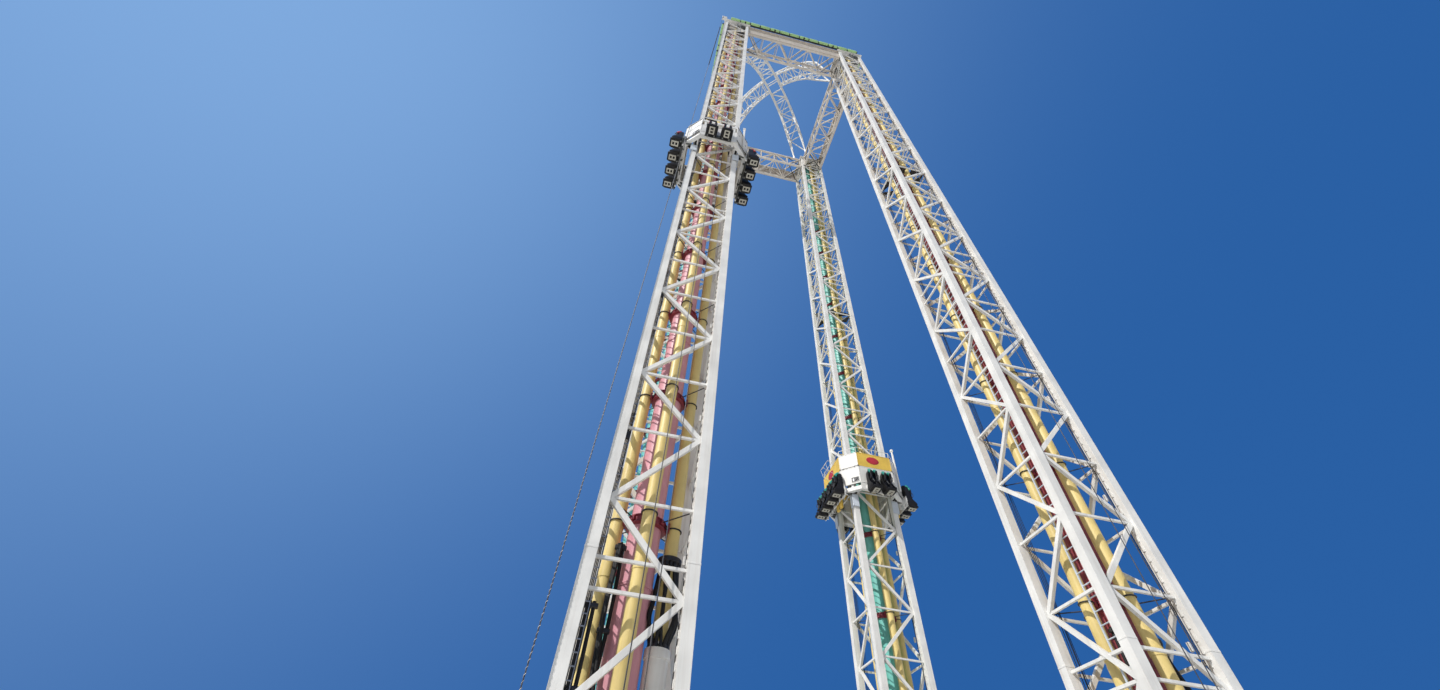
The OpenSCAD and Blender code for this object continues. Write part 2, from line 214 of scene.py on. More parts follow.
BLACK = paint("black_steel", (0.03, 0.03, 0.033), grime=0.3, soil=(0.12, 0.10, 0.08), metallic=0.2)
STEEL = paint("galvanised", (0.42, 0.43, 0.44), metallic=0.8, grime=0.3)
CABLE = paint("cable_steel", (0.10, 0.10, 0.105), metallic=0.6, grime=0.3, scale=60)
ROPE = paint("wound_wire", (0.52, 0.52, 0.53), metallic=0.2, rough=0.6, grime=0.3, scale=60)
LAMP = paint("green_lamp", (0.42, 0.68, 0.30), rough=0.35, grime=0.15, soil=(0.2, 0.35, 0.15),
             scale=40, runs=False)
MOULDED = paint("seat_black", (0.014, 0.013, 0.014), rough=0.5, grime=0.15, soil=(0.06, 0.055, 0.05),
                runs=False, bump=0.35, specular=0.3)
SHELL = paint("seat_shell", (0.55, 0.53, 0.46), rough=0.45, grime=0.3, runs=False)
GREY = paint("dark_grey_steel", (0.10, 0.105, 0.10), rough=0.5, grime=0.35)
YELLOW = paint("panel_yellow", (0.83, 0.56, 0.10), grime=0.15, soil=(0.4, 0.25, 0.08))
PANEL = paint("panel_white", (0.82, 0.81, 0.785), grime=0.22, soil=(0.42, 0.36, 0.30))
PATCH = paint("patch_red", (0.50, 0.03, 0.05), rough=0.4, grime=0.1, runs=False)
PADS = {t: paint("pad_" + name, base, rough=0.5, grime=0.1, runs=False, bump=0.3) for t, name, base in (
    ("fl", "red", (0.50, 0.035, 0.05)), ("fr", "dark_red", (0.26, 0.03, 0.04)),
    ("br", "teal", (0.03, 0.33, 0.28)), ("bl", "turquoise", (0.04, 0.34, 0.36)))}


def dress_frame():
    """Gives each carried-over CAD node its finish."""
    # The trusses take the white with painted shade in it.
    looks = [(WHITE, "legs", "base_plates", "arch_a", "arch_b", "crowns", "rams"),
             (SHADED_TRUSS_WHITE, "truss_front", "truss_back", "truss_left", "truss_right"), (BEIGE, "fascias"),
             (CABLE, "cables"), (STRAW, "pipes"), (MAROON, "braces"), (LAMP, "lights")]
    for t in TOWERS:
        car = "car_%s_" % t
        looks += [(WHITE, "lattice_" + t, car + "sides", car + "corners"), (CORES[t], "core_" + t),
                  (MOULDED, car + "seats"), (PANEL, car + "panels"), (RUBBER, car + "wheels")]
    for mat, *names in looks:
        for name in names:
            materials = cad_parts[name].data.materials
            materials.clear()
            materials.append(mat)


class Piece:
    """Collects shapes in several materials, at its present place if it has one, and makes one object."""

    def __init__(self, name, place=None):
        self.name = name
        self.place = place
        self.verts = []
        self.faces = []
        self.mats = []

    def take(self, shape, mats, place):
        """Takes in vertices and faces, with a material for each face."""
        verts, faces = moved(shape, place) if place else shape
        start = len(self.verts)
        self.verts.extend(verts)
        self.faces.extend([tuple(start + i for i in face) for face in faces])
        self.mats.extend(mats)

    def add(self, shape, mat, place=None):
        self.take(shape, [mat] * len(shape[1]), place or self.place)

    def merge(self, other, place):
        """Adds all of another piece, moved to its place."""
        self.take((other.verts, other.faces), other.mats, place)

    def done(self, body, replaces=()):
        mesh = bpy.data.meshes.new(self.name)
        mesh.from_pydata(self.verts, [], self.faces)
        slots = {mat: i for i, mat in enumerate(dict.fromkeys(self.mats))}
        for mat in slots:
            mesh.materials.append(mat)
        mesh.polygons.foreach_set("material_index", [slots[mat] for mat in self.mats])
        work = bmesh.new()
        work.from_mesh(mesh)
        bmesh.ops.recalc_face_normals(work, faces=work.faces)
        for face in work.faces:
            face.smooth = True
        work.to_mesh(mesh)
        work.free()
        mesh.set_sharp_from_angle(angle=math.radians(34))
        obj = new_object(self.name, mesh)
        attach(obj, body)
        if replaces:
            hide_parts(*replaces)
        return obj


# Mesh makers: each returns vertices and faces
def loft(rings, closed=False):
    """A skin over rings of equally many points, capped at both ends unless it closes on itself."""
    n = len(rings[0])
    verts = [tuple(p) for ring in rings for p in ring]
    faces = []
    for i in range(len(rings) if closed else len(rings) - 1):
        near = i * n
        far = (i + 1) % len(rings) * n
        for j in range(n):
            k = (j + 1) % n
            faces.append((near + j, near + k, far + k, far + j))
    if not closed:
        faces.append(tuple(range(n))[::-1])
        faces.append(tuple(len(verts) - n + j for j in range(n)))
    return verts, faces


def box(low, high, c=0.0):
    """A box between two corners, with its edges chamfered by c."""
    (x0, y0, z0), (x1, y1, z1) = low, high
    c = min(c, (x1 - x0) * 0.45, (y1 - y0) * 0.45, (z1 - z0) * 0.45)

    def ring(z, inset):
        ax, bx, ay, by = x0 + inset, x1 - inset, y0 + inset, y1 - inset
        if c <= 0:
            return [(ax, ay, z), (bx, ay, z), (bx, by, z), (ax, by, z)]
        return [(ax + c, ay, z), (bx - c, ay, z), (bx, ay + c, z), (bx, by - c, z),
                (bx - c, by, z), (ax + c, by, z), (ax, by - c, z), (ax, ay + c, z)]

    if c <= 0:
        return loft([ring(z0, 0), ring(z1, 0)])
    inner = c * 0.8
    return loft([ring(z0, inner), ring(z0 + c, 0), ring(z1 - c, 0), ring(z1, inner)])


def post(x, y, low, high, w, d, c=0.0):
    """An upright box about (x, y), w wide and d deep."""
    return box((x - w / 2, y - d / 2, low), (x + w / 2, y + d / 2, high), c)


def aim(a, b):
    """Turns +X onto the way from a to b, keeps Z near up, and puts the origin at a."""
    x = (Vector(b) - Vector(a)).normalized()
    up = Vector((0, 1, 0) if abs(x.z) > 0.98 else (0, 0, 1))
    y = up.cross(x).normalized()
    turned = Matrix((x, y, x.cross(y))).transposed().to_4x4()
    turned.translation = Vector(a)
    return turned


def moved(shape, place):
    """A shape's vertices and faces at a place."""
    return [tuple(place @ Vector(p)) for p in shape[0]], shape[1]


def beam(a, b, w, h, c=0.0):
    """A chamfered bar of width w and height h from a to b."""
    length = (Vector(b) - Vector(a)).length
    return moved(box((0, -w / 2, -h / 2), (length, w / 2, h / 2), c), aim(a, b))


def tube(points, r, n=8, closed=False):
    """A round tube along points, carried round bends without twist."""
    pts = [Vector(p) for p in points]
    last = len(pts) - 1
    normal = None
    rings = []
    for i, p in enumerate(pts):
        ahead = pts[(i + 1) % len(pts)] if closed else pts[min(i + 1, last)]
        behind = pts[i - 1] if closed else pts[max(i - 1, 0)]
        t = (ahead - behind).normalized()
        if normal is None:
            normal = Vector((0, 0, 1)) if abs(t.z) < 0.9 else Vector((1, 0, 0))
        normal = (normal - t * normal.dot(t)).normalized()
        side = t.cross(normal)
        turn = [2 * math.pi * j / n for j in range(n)]
        rings.append([p + (normal * math.cos(a) + side * math.sin(a)) * r for a in turn])
    return loft(rings, closed)


def arc(center, r, start, end, n, plane="xy"):
    """Points on an arc from one angle to another, in degrees, level or upright along X."""
    out = []
    for i in range(n + 1):
        a = math.radians(start + (end - start) * i / n)
        c, s = r * math.cos(a), r * math.sin(a)
        way = (c, s, 0) if plane == "xy" else (c, 0, s)
        out.append(tuple(p + d for p, d in zip(center, way)))
    return out


def lathe(profile, center, n=24, axis="z"):
    """A turned shape from (radius, height) pairs."""
    rings = []
    for r, h in profile:
        ring = []
        for j in range(n):
            a = 2 * math.pi * j / n
            x, y = r * math.cos(a), r * math.sin(a)
            way = {"z": (x, y, h), "x": (h, x, y), "y": (x, h, y)}[axis]
            ring.append(tuple(p + d for p, d in zip(center, way)))
        rings.append(ring)
    return loft(rings)


def mirrored(half):
    """A profile from its far half, given towards the middle, where a last point of height 0 stands once."""
    return [(r, -h) for r, h in half] + [(r, h) for r, h in reversed(half) if h]


def curve(points, steps=5):
    """A rounded way through points."""
    p = [Vector(q) for q in points]
    p = [p[0] * 2 - p[1], *p, p[-1] * 2 - p[-2]]
    out = []
    for i in range(1, len(p) - 2):
        for s in range(steps):
            t = s / steps
            linear = (p[i + 1] - p[i - 1]) * t
            square = (2 * p[i - 1] - 5 * p[i] + 4 * p[i + 1] - p[i + 2]) * t ** 2
            cube = (3 * p[i] - p[i - 1] - 3 * p[i + 1] + p[i + 2]) * t ** 3
            out.append(tuple(0.5 * (2 * p[i] + linear + square + cube)))
    out.append(tuple(p[-2]))
    return out


def pad(center, size, place=None):
    """A crowned closed pad: a rounded block whose sides bow out, of the given full size."""
    def bent(v):
        return math.copysign(abs(v) ** 0.55, v)

    rings = []
    for i in range(9):
        lat = math.pi * (i / 8 - 0.5) * 0.98
        ring = []
        for j in range(14):
            lon = 2 * math.pi * j / 14
            x = bent(math.cos(lat)) * bent(math.cos(lon)) * size[0] / 2
            y = bent(math.cos(lat)) * bent(math.sin(lon)) * size[1] / 2
            ring.append((x, y, bent(math.sin(lat)) * size[2] / 2))
        rings.append(ring)
    turned = Matrix.Translation(center) @ (place or Matrix())
    return moved(loft(rings), turned)


def at(x=0.0, y=0.0, z=0.0, turn=0.0):
    """Matrix of a place, turned about Z by degrees."""
    return Matrix.Translation((x, y, z)) @ Matrix.Rotation(math.radians(turn), 4, "Z")


def bolt(piece, p, r, h, axis, sign):
    """A steel hexagon head on a washer."""
    profile = [(r * 1.5, 0), (r * 1.5, sign * h * 0.3), (r, sign * h * 0.3), (r * 0.9, sign * h)]
    piece.add(lathe(profile, p, 6, axis), STEEL)


# Towers
BRACKET_LEVELS = range(4, BAYS - 1, 2)
SPLICES = (3, 11, 19, 27)
SIDES = (0, 90, 180, 270)
CORNERS = [(x, y) for x in (-1, 1) for y in (-1, 1)]
RUNG_STEP = 0.030
RACK_STEP = 0.021
DASH_STEP = 0.026
DIAPHRAGM_LEVEL = 17
CABLES_X = (0.006, 0.040)
RAM_BELTS = (0.10, 0.28, 0.46)
# Wires up a leg: offset in x and y, radius
WIRES = ((0.0, 0.0, 0.0010), (0.005, 0.001, 0.0008), (-0.001, 0.0055, 0.0010), (0.011, 0.003, 0.0008))
# Feed lines round a pipe: degrees, how far out they swell, radius, twist
HOSES = ((-158, 0.033, 0.0042, 0.4), (-136, 0.036, 0.0038, -0.3), (-112, 0.029, 0.0042, 0.5),
         (-84, 0.026, 0.0034, -0.5), (-56, 0.031, 0.0042, 0.4), (-30, 0.035, 0.0038, -0.4),
         (-6, 0.031, 0.0042, 0.3), (168, 0.030, 0.0034, 0.3))
# Bundles beside a core and beside a leg: offset in x and y, radius, bow
CORE_LINES = ((-0.0046, 0.0, 0.0044, 0.004), (0.0046, 0.001, 0.0040, -0.004), (0.0, -0.007, 0.0036, 0.007))
LEG_LINES = ((-0.0045, 0.0, 0.0042, 0.001), (0.0044, 0.001, 0.0038, -0.002))


def bracket():
    """A clamp round the core with an arm and a U-bolt to each pipe, and tie rods to the legs."""
    piece = Piece("bracket")
    outer, near = CORE_R + 0.007, PIPE_OFF - PIPE_R
    lip, reach = outer + 0.003, LEG_C * math.sqrt(2) - LEG * 0.62
    band = mirrored([(CORE_R, 0.011), (outer, 0.011), (lip, 0.009), (lip, 0.007), (outer, 0.006)])
    piece.add(lathe(band, (0, 0, 0), 32), MAROON)
    for turn in SIDES:
        piece.place = at(turn=turn)
        piece.add(box((CORE_R + 0.002, -0.009, -0.009), (near + 0.006, 0.009, 0.009), 0.0015), MAROON)
        piece.add(box((near - 0.001, -0.019, -0.011), (near + 0.004, 0.019, 0.011), 0.0015), MAROON)
        loop = arc((PIPE_OFF, 0, 0), PIPE_R + 0.002, -128, 128, 16)
        piece.add(tube([(near, loop[0][1], 0), *loop, (near, loop[-1][1], 0)], 0.0018, 6), BLACK)
        for y in (-0.0152, 0.0152):
            piece.add(lathe([(0.0032, 0), (0.0032, 0.003)], (near - 0.005, y, 0), 6, "x"), BLACK)
        piece.place = at(turn=turn + 45)
        piece.add(tube([(outer, 0, 0), (reach, 0, 0.004)], 0.0016, 6), BLACK)
        piece.add(box((outer - 0.002, -0.005, -0.005), (outer + 0.007, 0.005, 0.005), 0.001), MAROON)
        piece.add(box((reach - 0.004, -0.006, -0.002), (reach + 0.004, 0.006, 0.010), 0.001), WHITE)
    return piece


def make_brackets():
    one = bracket()
    for t, axis in TOWERS.items():
        piece = Piece("brackets_" + t)
        for k in BRACKET_LEVELS:
            piece.merge(one, at(axis.x, axis.y, level(k)))
        piece.done("towers", ["braces"] if t == "fl" else [])


def make_core_joints():
    """Flanged joints in each core and each pipe."""
    out = CORE_R + 0.0025
    ring = mirrored([(CORE_R, 0.004), (out, 0.0035), (out, 0.0004), (CORE_R + 0.001, 0)])
    sleeve = mirrored([(PIPE_R, 0.009), (PIPE_R + 0.0013, 0.0085)])
    for t, axis in TOWERS.items():
        piece = Piece("core_joints_" + t)
        for k in range(3, BAYS, 4):
            z = level(k) + 0.05
            piece.add(lathe(ring, (axis.x, axis.y, z), 32), CORES[t])
            for turn in SIDES:
                piece.add(lathe(sleeve, (PIPE_OFF, 0, 0), 20), STRAW, at(axis.x, axis.y, z + 0.021, turn))
        piece.done("towers")


def make_splices():
    """Welded seams where the legs are joined, and ribs at their feet clear of the carriages' guides."""
    for t, axis in TOWERS.items():
        piece = Piece("splices_" + t)
        for sx, sy in CORNERS:
            x, y = axis.x + sx * LEG_C, axis.y + sy * LEG_C
            for k in SPLICES:
                z = level(k) + 0.3 * BAY + 0.016
                piece.add(post(x, y, z - 0.0022, z + 0.0022, LEG + 0.0012, LEG + 0.0012, 0.0005), WHITE)
            for turn in SIDES:
                a = math.radians(turn)
                if sx * math.cos(a) + sy * math.sin(a) > 0:
                    continue
                out = LEG / 2 + 0.016
                rib = [(LEG / 2, 0), (out, 0), (out, 0.003), (LEG / 2, 0.024)]
                faces = [[(p, side_y, q) for p, q in rib] for side_y in (-0.0015, 0.0015)]
                piece.add(loft(faces), WHITE, at(x, y, PLATE_T, turn))
        piece.done("towers")


def make_ladders():
    """Up each tower: a ladder inside its left face, a cable rack on a front leg, wires on a back leg."""
    low, high = 0.06, LEG_TOP - 0.03
    for t, axis in TOWERS.items():
        piece = Piece("ladder_" + t)
        x, rails = axis.x - 0.0975, (axis.y - 0.082, axis.y - 0.044)
        for y in rails:
            piece.add(post(x, y, low, high, 0.005, 0.0036, 0.0008), COOL_WHITE)
        for i in range(int((high - low) / RUNG_STEP)):
            z = low + (i + 0.5) * RUNG_STEP
            piece.add(tube([(x, y, z) for y in rails], 0.0017, 6), COOL_WHITE)
        for k in range(1, BAYS):
            for y in rails:
                piece.add(beam((x, y, level(k)), (axis.x - LEG_C, y, level(k)), 0.003, 0.003), WHITE)
        piece.done("towers")
        rack = Piece("cable_rack_" + t)
        x, y = axis.x - 0.0895, axis.y - 0.095
        for d in (-0.006, 0.006):
            rack.add(post(x + d, y, low, high, 0.0018, 0.004), STEEL)
        for d in (-0.003, 0.0, 0.003):
            rack.add(tube([(x + d, y - 0.001, low), (x + d, y - 0.001, high)], 0.0011, 6), RUBBER)
        for i in range(int((high - low) / RACK_STEP)):
            z = low + 0.010 + i * RACK_STEP
            rack.add(post(x, y - 0.0022, z - 0.0012, z + 0.0012, 0.0124, 0.0008), STEEL)
        for dx, dy, r in WIRES:
            wx, wy = axis.x - 0.088 + dx, axis.y + 0.084 + dy
            wave = [(wx + 0.0020 * math.sin(k * 2.1 + dx * 900), wy, level(k)) for k in range(BAYS)]
            rack.add(tube(wave, r, 5), RUBBER)
        for k in range(2, BAYS, 3):
            z = level(k) - 0.03
            rack.add(post(x - 0.002, y - 0.0065, z, z + 0.022, 0.016, 0.007, 0.0012), BLACK)
            rack.add(post(x - 0.002, y - 0.0045, z + 0.022, z + 0.030, 0.004, 0.003, 0.0008), RUBBER)
        rack.done("towers")


def make_leg_lights():
    """A dashed light strip and two thin leads up the inner face of each tower's front right leg."""
    for t, axis in TOWERS.items():
        piece = Piece("leg_lights_" + t)
        x, y = axis.x + LEG_C - LEG / 2, axis.y - 0.102
        for i in range(int((LEG_TOP - 0.12) / DASH_STEP)):
            z = 0.06 + i * DASH_STEP
            piece.add(post(x - 0.0011, y, z, z + 0.015, 0.0022, 0.006, 0.0006), PANEL)
        for d, r in ((0.010, 0.0010), (0.014, 0.0008)):
            piece.add(tube([(x - r, y + d, 0.05), (x - r, y + d, LEG_TOP - 0.05)], r, 6), RUBBER)
        for k in range(1, BAYS, 2):
            z = level(k) + 0.05
            piece.add(post(x - 0.0015, y + 0.012, z, z + 0.003, 0.003, 0.008, 0.0005), STEEL)
            piece.add(post(x - 0.003, y + 0.022, z + 0.03, z + 0.05, 0.006, 0.008, 0.001), PANEL)
        piece.done("towers")


def bundle(piece, x, y, lines, high):
    """Feed lines clamped side by side from the ground up."""
    for dx, dy, r, bow in lines:
        lean = ((0, 0.02), (-bow, high * 0.3), (bow, high * 0.55), (-bow * 0.6, high * 0.8), (0, high))
        piece.add(tube(curve([(x + dx + d, y + dy, z) for d, z in lean], 6), r, 8), RUBBER)
    for part in (0.2, 0.5, 0.78, 1.0):
        z = high * part - 0.012
        piece.add(post(x, y, z, z + 0.008, 0.026, 0.011, 0.001), BLACK)


def make_hydraulics():
    """Each lift cylinder's rim, cap and belts, the feed lines round the pipe above it, and the bundles."""
    top = RAM_TOP + 0.165
    lip, cap, wide = RAM_R + 0.0026, PIPE_R + 0.001, PIPE_R + 0.0115
    rim = [(RAM_R, -0.018), (lip, -0.0165), (lip, -0.001), (RAM_R + 0.0016, 0.0008), (RAM_R - 0.002, 0.0008),
           (RAM_R - 0.004, 0.003), (cap, 0.004), (cap, 0.012), (PIPE_R, 0.013)]
    belt = mirrored([(RAM_R, 0.006), (RAM_R + 0.0018, 0.005)])
    collar = [(PIPE_R, -0.004), (wide - 0.001, -0.004), (wide, -0.003), (wide, 0.006), (wide - 0.001, 0.007),
              (PIPE_R, 0.007)]
    for t, axis in TOWERS.items():
        piece = Piece("hydraulics_" + t)
        x, y = axis.x + PIPE_OFF, axis.y
        piece.add(lathe(rim, (x, y, RAM_TOP), 32), WHITE)
        for z in RAM_BELTS:
            piece.add(lathe(belt, (x, y, z), 32), WHITE)
        for turn, out, r, lean in HOSES:
            way = []
            for reach, z, twist in ((0.0185, RAM_TOP - 0.001, 0), (0.0195, RAM_TOP + 0.014, 0),
                                    (out, RAM_TOP + 0.050, lean), (out - 0.004, RAM_TOP + 0.082, lean),
                                    (cap + r, top - 0.022, lean * 0.4), (PIPE_R + r, top + 0.004, 0)):
                a = math.radians(turn) + twist * 0.5
                way.append((x + reach * math.cos(a), y + reach * math.sin(a), z))
            piece.add(tube(curve(way), r, 8), RUBBER)
            low_nut = [(r + 0.0010, 0), (r + 0.0010, 0.006), (r + 0.0002, 0.009)]
            high_nut = [(r + 0.0002, -0.007), (r + 0.0010, -0.004), (r + 0.0010, 0.002)]
            piece.add(lathe(low_nut, (*way[0][:2], RAM_TOP), 6), BLACK)
            piece.add(lathe(high_nut, (*way[-1][:2], top), 6), BLACK)
        piece.add(lathe(collar, (x, y, top + 0.006), 28), BLACK)
        bundle(piece, axis.x - 0.0475, axis.y - 0.026, CORE_LINES, level(4) - 0.06)
        bundle(piece, axis.x - 0.0800, axis.y - 0.0880, LEG_LINES, 0.60)
        piece.done("towers")


def make_diaphragms():
    """Plates halfway up each tower, two in each side, that narrow from the pipe to the legs, black as
    painted shade for plates in shadow.
    """
    near, far, wide = LEG_C - 0.003, PIPE_OFF - 0.006, TOWER / 2 - LEG
    for t, axis in TOWERS.items():
        piece = Piece("diaphragm_" + t)
        for turn in SIDES:
            piece.place = at(axis.x, axis.y, level(DIAPHRAGM_LEVEL) + 0.024, turn)
            for s in (-1, 1):
                leg_x, pipe_x = s * wide, s * (PIPE_R + 0.001)
                plan = [(leg_x, -near), (pipe_x, -near), (pipe_x, -far), (leg_x, 0.006 - near)]
                # Painted shade: the plates are drawn black for the shadow they lie in.
                piece.add(loft([[(x, y, z) for x, y in plan] for z in (-0.0025, 0.0025)]), BLACK)
                ends = (leg_x, 0.003 - near, -0.005), (s * (PIPE_R + 0.002), -far, -0.005)
                piece.add(beam(*ends, 0.003, 0.008, 0.0006), BLACK)
                for part in (0.25, 0.6, 0.9):
                    x = s * (wide + (PIPE_R - wide) * part)
                    bolt(piece, (x, -near + 0.004, -0.0025), 0.0018, 0.0014, "z", -1)
        piece.done("towers")


def sheave(r, w, center):
    """A grooved wheel of radius r and width w whose shaft runs along X."""
    groove = [(r * 0.3, w * 0.8), (r * 0.3, w * 0.5), (r * 0.86, w * 0.35), (r, w * 0.5), (r, w * 0.35),
              (r * 0.9, w * 0.12)]
    return lathe(mirrored(groove), center, 32, "x")


def make_heads():
    """What fills the tower heads: cross beams, sheaves on their shafts, drive boxes and lifting eyes."""
    top = CROWN_TOP - LEG_TOP
    foot = top - 0.001
    for t, axis in TOWERS.items():
        piece = Piece("head_" + t, at(axis.x, axis.y, LEG_TOP))
        shaft_y = (1 if axis.y > 0 else -1) * (TOWER / 2 + CABLE_GAP - 0.034)
        for y in (-0.045, 0.045):
            piece.add(beam((-0.093, y, -0.045), (0.093, y, -0.045), 0.012, 0.020, 0.0015), BLACK)
        for x in (-0.075, 0.0, 0.075):
            piece.add(beam((x, -0.093, -0.027), (x, 0.093, -0.027), 0.010, 0.016, 0.0015), GREY)
        for y, z in ((-0.070, -0.145), (-0.025, -0.205), (0.020, -0.285)):
            piece.add(beam((-0.093, y, z), (0.093, y, z), 0.008, 0.012, 0.001), BLACK)
        for x in CABLES_X:
            piece.add(sheave(0.0335, 0.009, (x, shaft_y, -0.036)), STEEL)
        piece.add(tube([(-0.02, shaft_y, -0.036), (0.066, shaft_y, -0.036)], 0.005, 12), BLACK)
        piece.add(post(0.069, shaft_y, -0.062, -0.012, 0.038, 0.044, 0.003), GREY)
        piece.add(post(-0.065, 0.005, -0.10, -0.056, 0.040, 0.050, 0.003), WHITE)
        for sx, sy in CORNERS:
            x, y = sx * 0.112, sy * 0.112
            loop = arc((x, y, top + 0.003), 0.006, 0, 180, 10, "xz")
            piece.add(tube([(x + 0.006, y, foot), *loop, (x - 0.006, y, foot)], 0.0016, 6), STEEL)
        for y in (-0.036, 0.036):
            piece.add(tube(arc((0, y, top), 0.0584, 4, 176, 28, "xz"), 0.0012, 6), WHITE)
        piece.done("towers")


# Roof
LIGHTS_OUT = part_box("lights")[1].x
STRIP = 0.036
LAMPS = 13
TRUSS_SIDE = 0.100
TRUSS_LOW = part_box("truss_front")[0].z
TRUSS_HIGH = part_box("truss_front")[1].z
TRUSS_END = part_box("truss_front")[1].x
BOARD_OUT = SPREAD + TRUSS_SIDE + PANEL_T
AROUND = (("front", 0), ("right", 90), ("back", 180), ("left", 270))
THICK_TIES = (("right", 1), ("back", -1))
SLEEVE = (4.25, 5.60)
WIRE_TURNS = 420


def lamp(x, half, outer, low, high):
    """A rounded lamp cover along X whose flat back is on its inner side."""
    deep, mid, tall = 0.022, (low + high) / 2, (high - low) / 2
    bow = [(0, -1), (0.55, -1), (0.88, -0.8), (1, -0.4), (1, 0.4), (0.88, 0.8), (0.55, 1), (0, 1)]
    rings = []
    for grow, end in mirrored([(0.72, half), (0.94, half - 0.003), (1, half - 0.008)]):
        rings.append([(x + end, outer + deep * (1 - y * grow), mid + tall * grow * z) for y, z in bow])
    return loft(rings)


def make_lights():
    """Green lamps in a row outside a black tray on each outer top edge, in place of the plain strips."""
    half = LIGHTS_OUT - STRIP * 0.6 - 0.056
    pitch = 2 * half / LAMPS
    outer, inner = -LIGHTS_OUT, 0.0005 - BOARD_OUT - 0.0165
    low, high = CROWN_TOP, CROWN_TOP + STRIP
    for name, turn in AROUND:
        piece = Piece("lights_" + name, at(turn=turn))
        piece.add(box((-half, outer + 0.0215, low + 0.003), (half, inner, high - 0.006), 0.0015), BLACK)
        piece.add(post(0, outer + 0.022, low + 0.0005, low + 0.006, 2 * half, 0.003, 0.0006), BLACK)
        for i in range(LAMPS):
            x = -half + (i + 0.5) * pitch
            gap = x + pitch / 2
            piece.add(lamp(x, pitch * 0.47, outer, low + 0.001, high - 0.003), LAMP)
            piece.add(post(gap, outer + 0.014, low + 0.0005, high - 0.004, 0.007, 0.016, 0.0008), BLACK)
            if i % 3 == 1:
                piece.add(post(x, outer + 0.0115, low - 0.003, low + 0.003, 0.014, 0.019, 0.001), BLACK)
            if i % 2 == 0 and abs(x) < TRUSS_END:
                piece.add(post(x, inner - 0.004, low - 0.009, low + 0.005, 0.008, 0.008, 0.001), BLACK)
        piece.done("towers", ["lights"] if name == "front" else [])


def make_truss_trim():
    """Seam battens and cappings on the boards, end plates, gussets and cross ties at the trusses' ends."""
    face, end = -BOARD_OUT, TRUSS_END
    inner, outer = -SPREAD + TRUSS_SIDE - 0.010, -SPREAD - TRUSS_SIDE + 0.010
    for name, turn in AROUND:
        piece = Piece("truss_trim_" + name, at(turn=turn))
        for i in range(7):
            x = (i - 3) * end / 3.05
            batten = post(x, face - 0.0006, TRUSS_LOW + 0.003, TRUSS_HIGH - 0.008, 0.008, 0.0012, 0.0005)
            piece.add(batten, BEIGE)
            for k in range(6):
                bolt(piece, (x, face - 0.0012, TRUSS_LOW + 0.02 + k * 0.032), 0.0013, 0.0010, "y", -1)
        for out, back, low, high in ((0.0025, 0.006, TRUSS_HIGH - 0.006, TRUSS_HIGH + 0.0015),
                                     (0.0165, 0.002, TRUSS_HIGH + 0.001, TRUSS_HIGH + 0.006),
                                     (0.0025, 0.006, TRUSS_LOW - 0.001, TRUSS_LOW + 0.005)):
            piece.add(box((-end, face - out, low), (end, face + back, high), 0.0008), BEIGE)
        for i in range(9):
            x = (i - 4) * end / 4.1
            piece.add(post(x, face - 0.009, TRUSS_HIGH + 0.005, CROWN_TOP + 0.006, 0.006, 0.014), GREY)
        for s in (-1, 1):
            x = s * (end - 0.003)
            for y in (inner, outer):
                for z in (TRUSS_LOW + 0.010, TRUSS_HIGH - 0.010):
                    piece.add(post(x, y, z - 0.013, z + 0.013, 0.006, 0.026, 0.001), GREY)
                    piece.add(post(x - s * 0.004, y, z - 0.0015, z + 0.0015, 0.024, 0.0216), WHITE)
            thick = (name, s) in THICK_TIES
            mat, low_r, side_r = (BLACK, 0.0042, 0.0034) if thick else (GREY, 0.0020, 0.0018)
            near, far = s * (end - 0.010), s * (end - 0.155)
            for a, b in ((near, far), (far, near)):
                under = [(a, inner, TRUSS_LOW + 0.004), (b, outer, TRUSS_LOW + 0.004)]
                beside = [(a, inner, TRUSS_LOW + 0.012), (b, inner, TRUSS_HIGH - 0.012)]
                piece.add(tube(under, low_r, 8), mat)
                piece.add(tube(beside, side_r, 8), mat)
        piece.done("towers")


def make_corner_sleeve():
    """A black sleeve high on the front left tower's corner cable, and wire wound round the rest of it."""
    piece = Piece("corner_cable")
    out = (CAR_CORNER + 0.0085 * math.sqrt(2)) / 2
    x, y = TOWERS["fl"].x - out - 0.007, TOWERS["fl"].y - out + 0.007
    low, high = SLEEVE
    piece.add(tube([(x, y, low), (x, y, high)], 0.0034, 10), RUBBER)
    ferrule = [(0.0034, -0.010), (0.0050, -0.009), (0.0050, -0.001), (0.0014, 0.001)]
    piece.add(lathe(ferrule, (x, y, high), 10), BLACK)
    socket = [(0.0014, -0.020), (0.0030, -0.018), (0.0075, -0.006), (0.0075, 0)]
    piece.add(lathe(socket, (x, y, LEG_TOP), 16), STEEL)
    steps = 5 * WIRE_TURNS
    helix = []
    for i in range(steps + 1):
        a = 2 * math.pi * i / 5
        helix.append((x + 0.0014 * math.cos(a), y + 0.0014 * math.sin(a), 0.04 + 4.20 * i / steps))
    piece.add(tube(helix, 0.0007, 4), ROPE)
    foot = [(0.010, 0), (0.010, 0.004), (0.004, 0.006), (0.004, 0.03), (0.0028, 0.034)]
    piece.add(lathe(foot, (x, y, 0), 16), STEEL)
    piece.done("towers")


# Carriages: pieces are made about the tower's axis with the seat bottoms at height 0, then moved into place
FLAT = CAR_CORNER - CAR_SIDE
SHORT = CAR_CORNER - CAR_FRONT
PLAN = [(CAR_SIDE, -FLAT), (CAR_SIDE, FLAT), (SHORT, CAR_FRONT), (-SHORT, CAR_FRONT), (-CAR_SIDE, FLAT),
        (-CAR_SIDE, -FLAT), (-SHORT, -CAR_FRONT), (SHORT, -CAR_FRONT)]
CORNER_SIDES = (1, 3, 5, 7)
FRONT_SIDE = 6
HATCH_SIDE = 5
